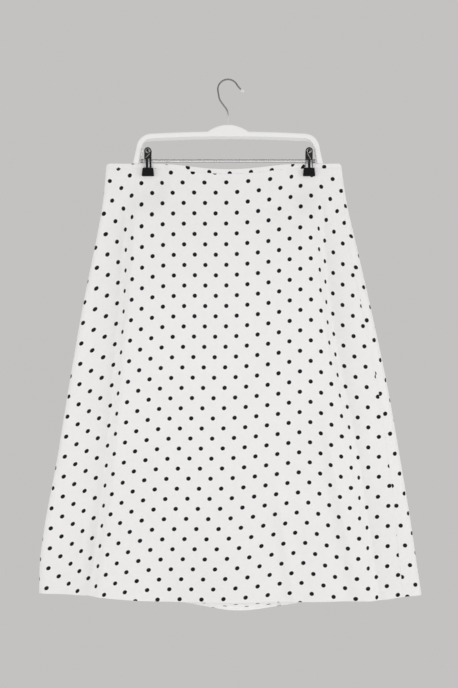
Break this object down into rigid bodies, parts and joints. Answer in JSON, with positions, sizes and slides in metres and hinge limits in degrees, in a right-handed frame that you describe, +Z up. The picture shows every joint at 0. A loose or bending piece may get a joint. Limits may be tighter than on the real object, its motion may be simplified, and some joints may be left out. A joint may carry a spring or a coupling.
{
  "type": "a-line midi skirt on a clip hanger",
  "caption": "Flared midi skirt with a narrow waistband, clipped flat to a moulded hanger with a wire hook; waist and hem are open.",
  "frame": {"origin": "inner top of the hook's bend, where the hook rests on the rod or peg that carries it", "axes": "+X to the viewer's right, +Y from the front of the skirt to its back, +Z up along the hang"},
  "size_m": [0.7115, 0.0632, 0.9928],
  "materials": {
    "cloth": "soft satin weave, white with small black dots",
    "band": "the same dotted cloth, cut as a narrow strip",
    "moulding": "plain white moulding, softly glossy",
    "chrome": "bright plated steel",
    "collar": "dull grey metal",
    "clip": "dark nickel plate",
    "pad": "black, slightly glossy",
    "cap": "clear soft plastic"
  },
  "bodies": {
    "root": {"skirt_front": "cloth", "skirt_back": "cloth", "waistband_front": "band", "waistband_back": "band", "hanger_rail": "moulding", "hanger_hook": "chrome", "hook_tip_cap": "cap", "clip_bar": "chrome", "bar_collar_left": "collar", "bar_collar_right": "collar", "clip_left_spring": "chrome", "clip_left_front_leg": "clip", "clip_left_back_leg": "clip", "clip_left_front_pad": "pad", "clip_left_back_pad": "pad", "clip_right_spring": "chrome", "clip_right_front_leg": "clip", "clip_right_back_leg": "clip", "clip_right_front_pad": "pad", "clip_right_back_pad": "pad"}
  },
  "joints": []
}
